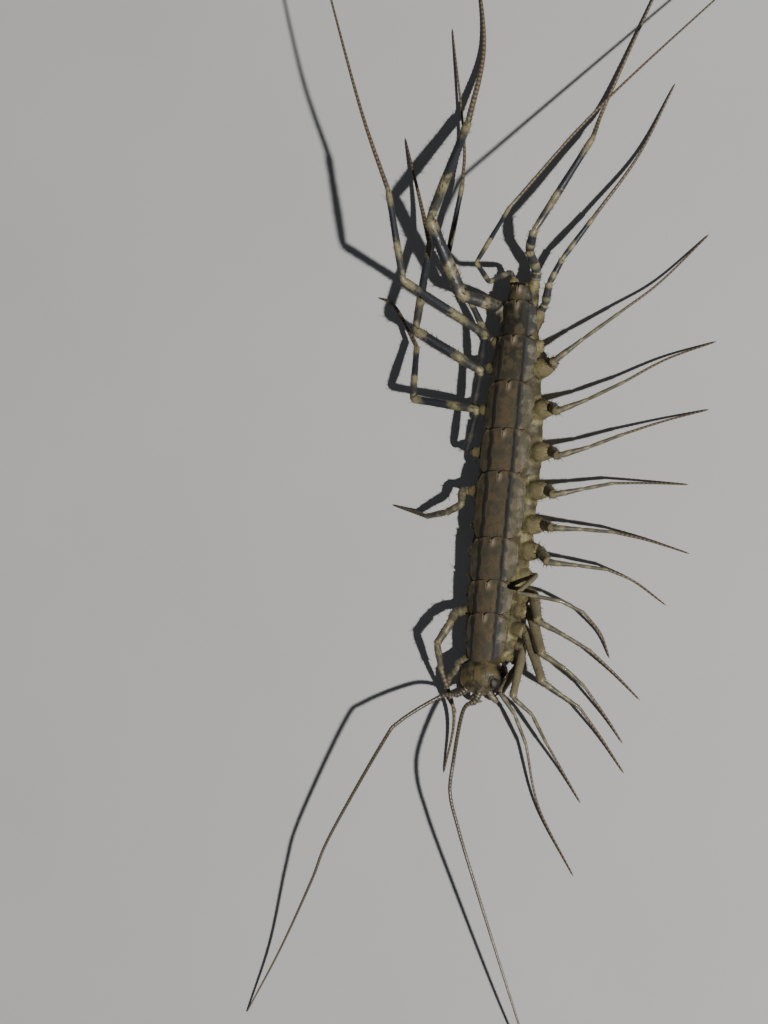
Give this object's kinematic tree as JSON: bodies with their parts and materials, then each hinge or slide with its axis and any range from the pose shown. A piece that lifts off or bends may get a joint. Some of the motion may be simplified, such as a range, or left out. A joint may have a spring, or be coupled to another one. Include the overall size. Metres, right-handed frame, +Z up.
{
  "type": "house centipede model",
  "caption": "Life-size still model of a house centipede at rest: long jointed legs, banded and thread-thin at the tips, plated back, long antennae.",
  "frame": {"origin": "centre of the footprint box of the whole animal, legs and antennae included, on the floor it stands on", "axes": "+Z up; +Y runs from the head to the tail, so the head faces -Y; +X completes the right-handed frame and points to the animal's own left"},
  "size_m": [0.0433, 0.08, 0.0099],
  "materials": {
    "plate": "satin",
    "head": "satin",
    "leg": "satin",
    "antenna": "satin",
    "eye": "gloss",
    "claw": "gloss"
  },
  "bodies": {
    "root": {"antenna_left": "antenna", "antenna_right": "antenna", "claw_left": "claw", "claw_right": "claw", "eye_left": "eye", "eye_right": "eye", "head": "head", "leg_left_01": "leg", "leg_left_02": "leg", "leg_left_03": "leg", "leg_left_04": "leg", "leg_left_05": "leg", "leg_left_06": "leg", "leg_left_07": "leg", "leg_left_08": "leg", "leg_left_09": "leg", "leg_left_10": "leg", "leg_left_11": "leg", "leg_left_12": "leg", "leg_left_14": "leg", "leg_left_15": "leg", "leg_right_01": "leg", "leg_right_04": "leg", "leg_right_09": "leg", "leg_right_10": "leg", "leg_right_11": "leg", "leg_right_12": "leg", "leg_right_13": "leg", "leg_right_14": "leg", "leg_right_15": "leg", "palp_left": "leg", "palp_right": "leg", "tail": "plate", "trunk_1": "plate", "trunk_2": "plate", "trunk_3": "plate", "trunk_4": "plate", "trunk_5": "plate", "trunk_6": "plate", "trunk_7": "plate", "trunk_8": "plate"}
  },
  "joints": []
}
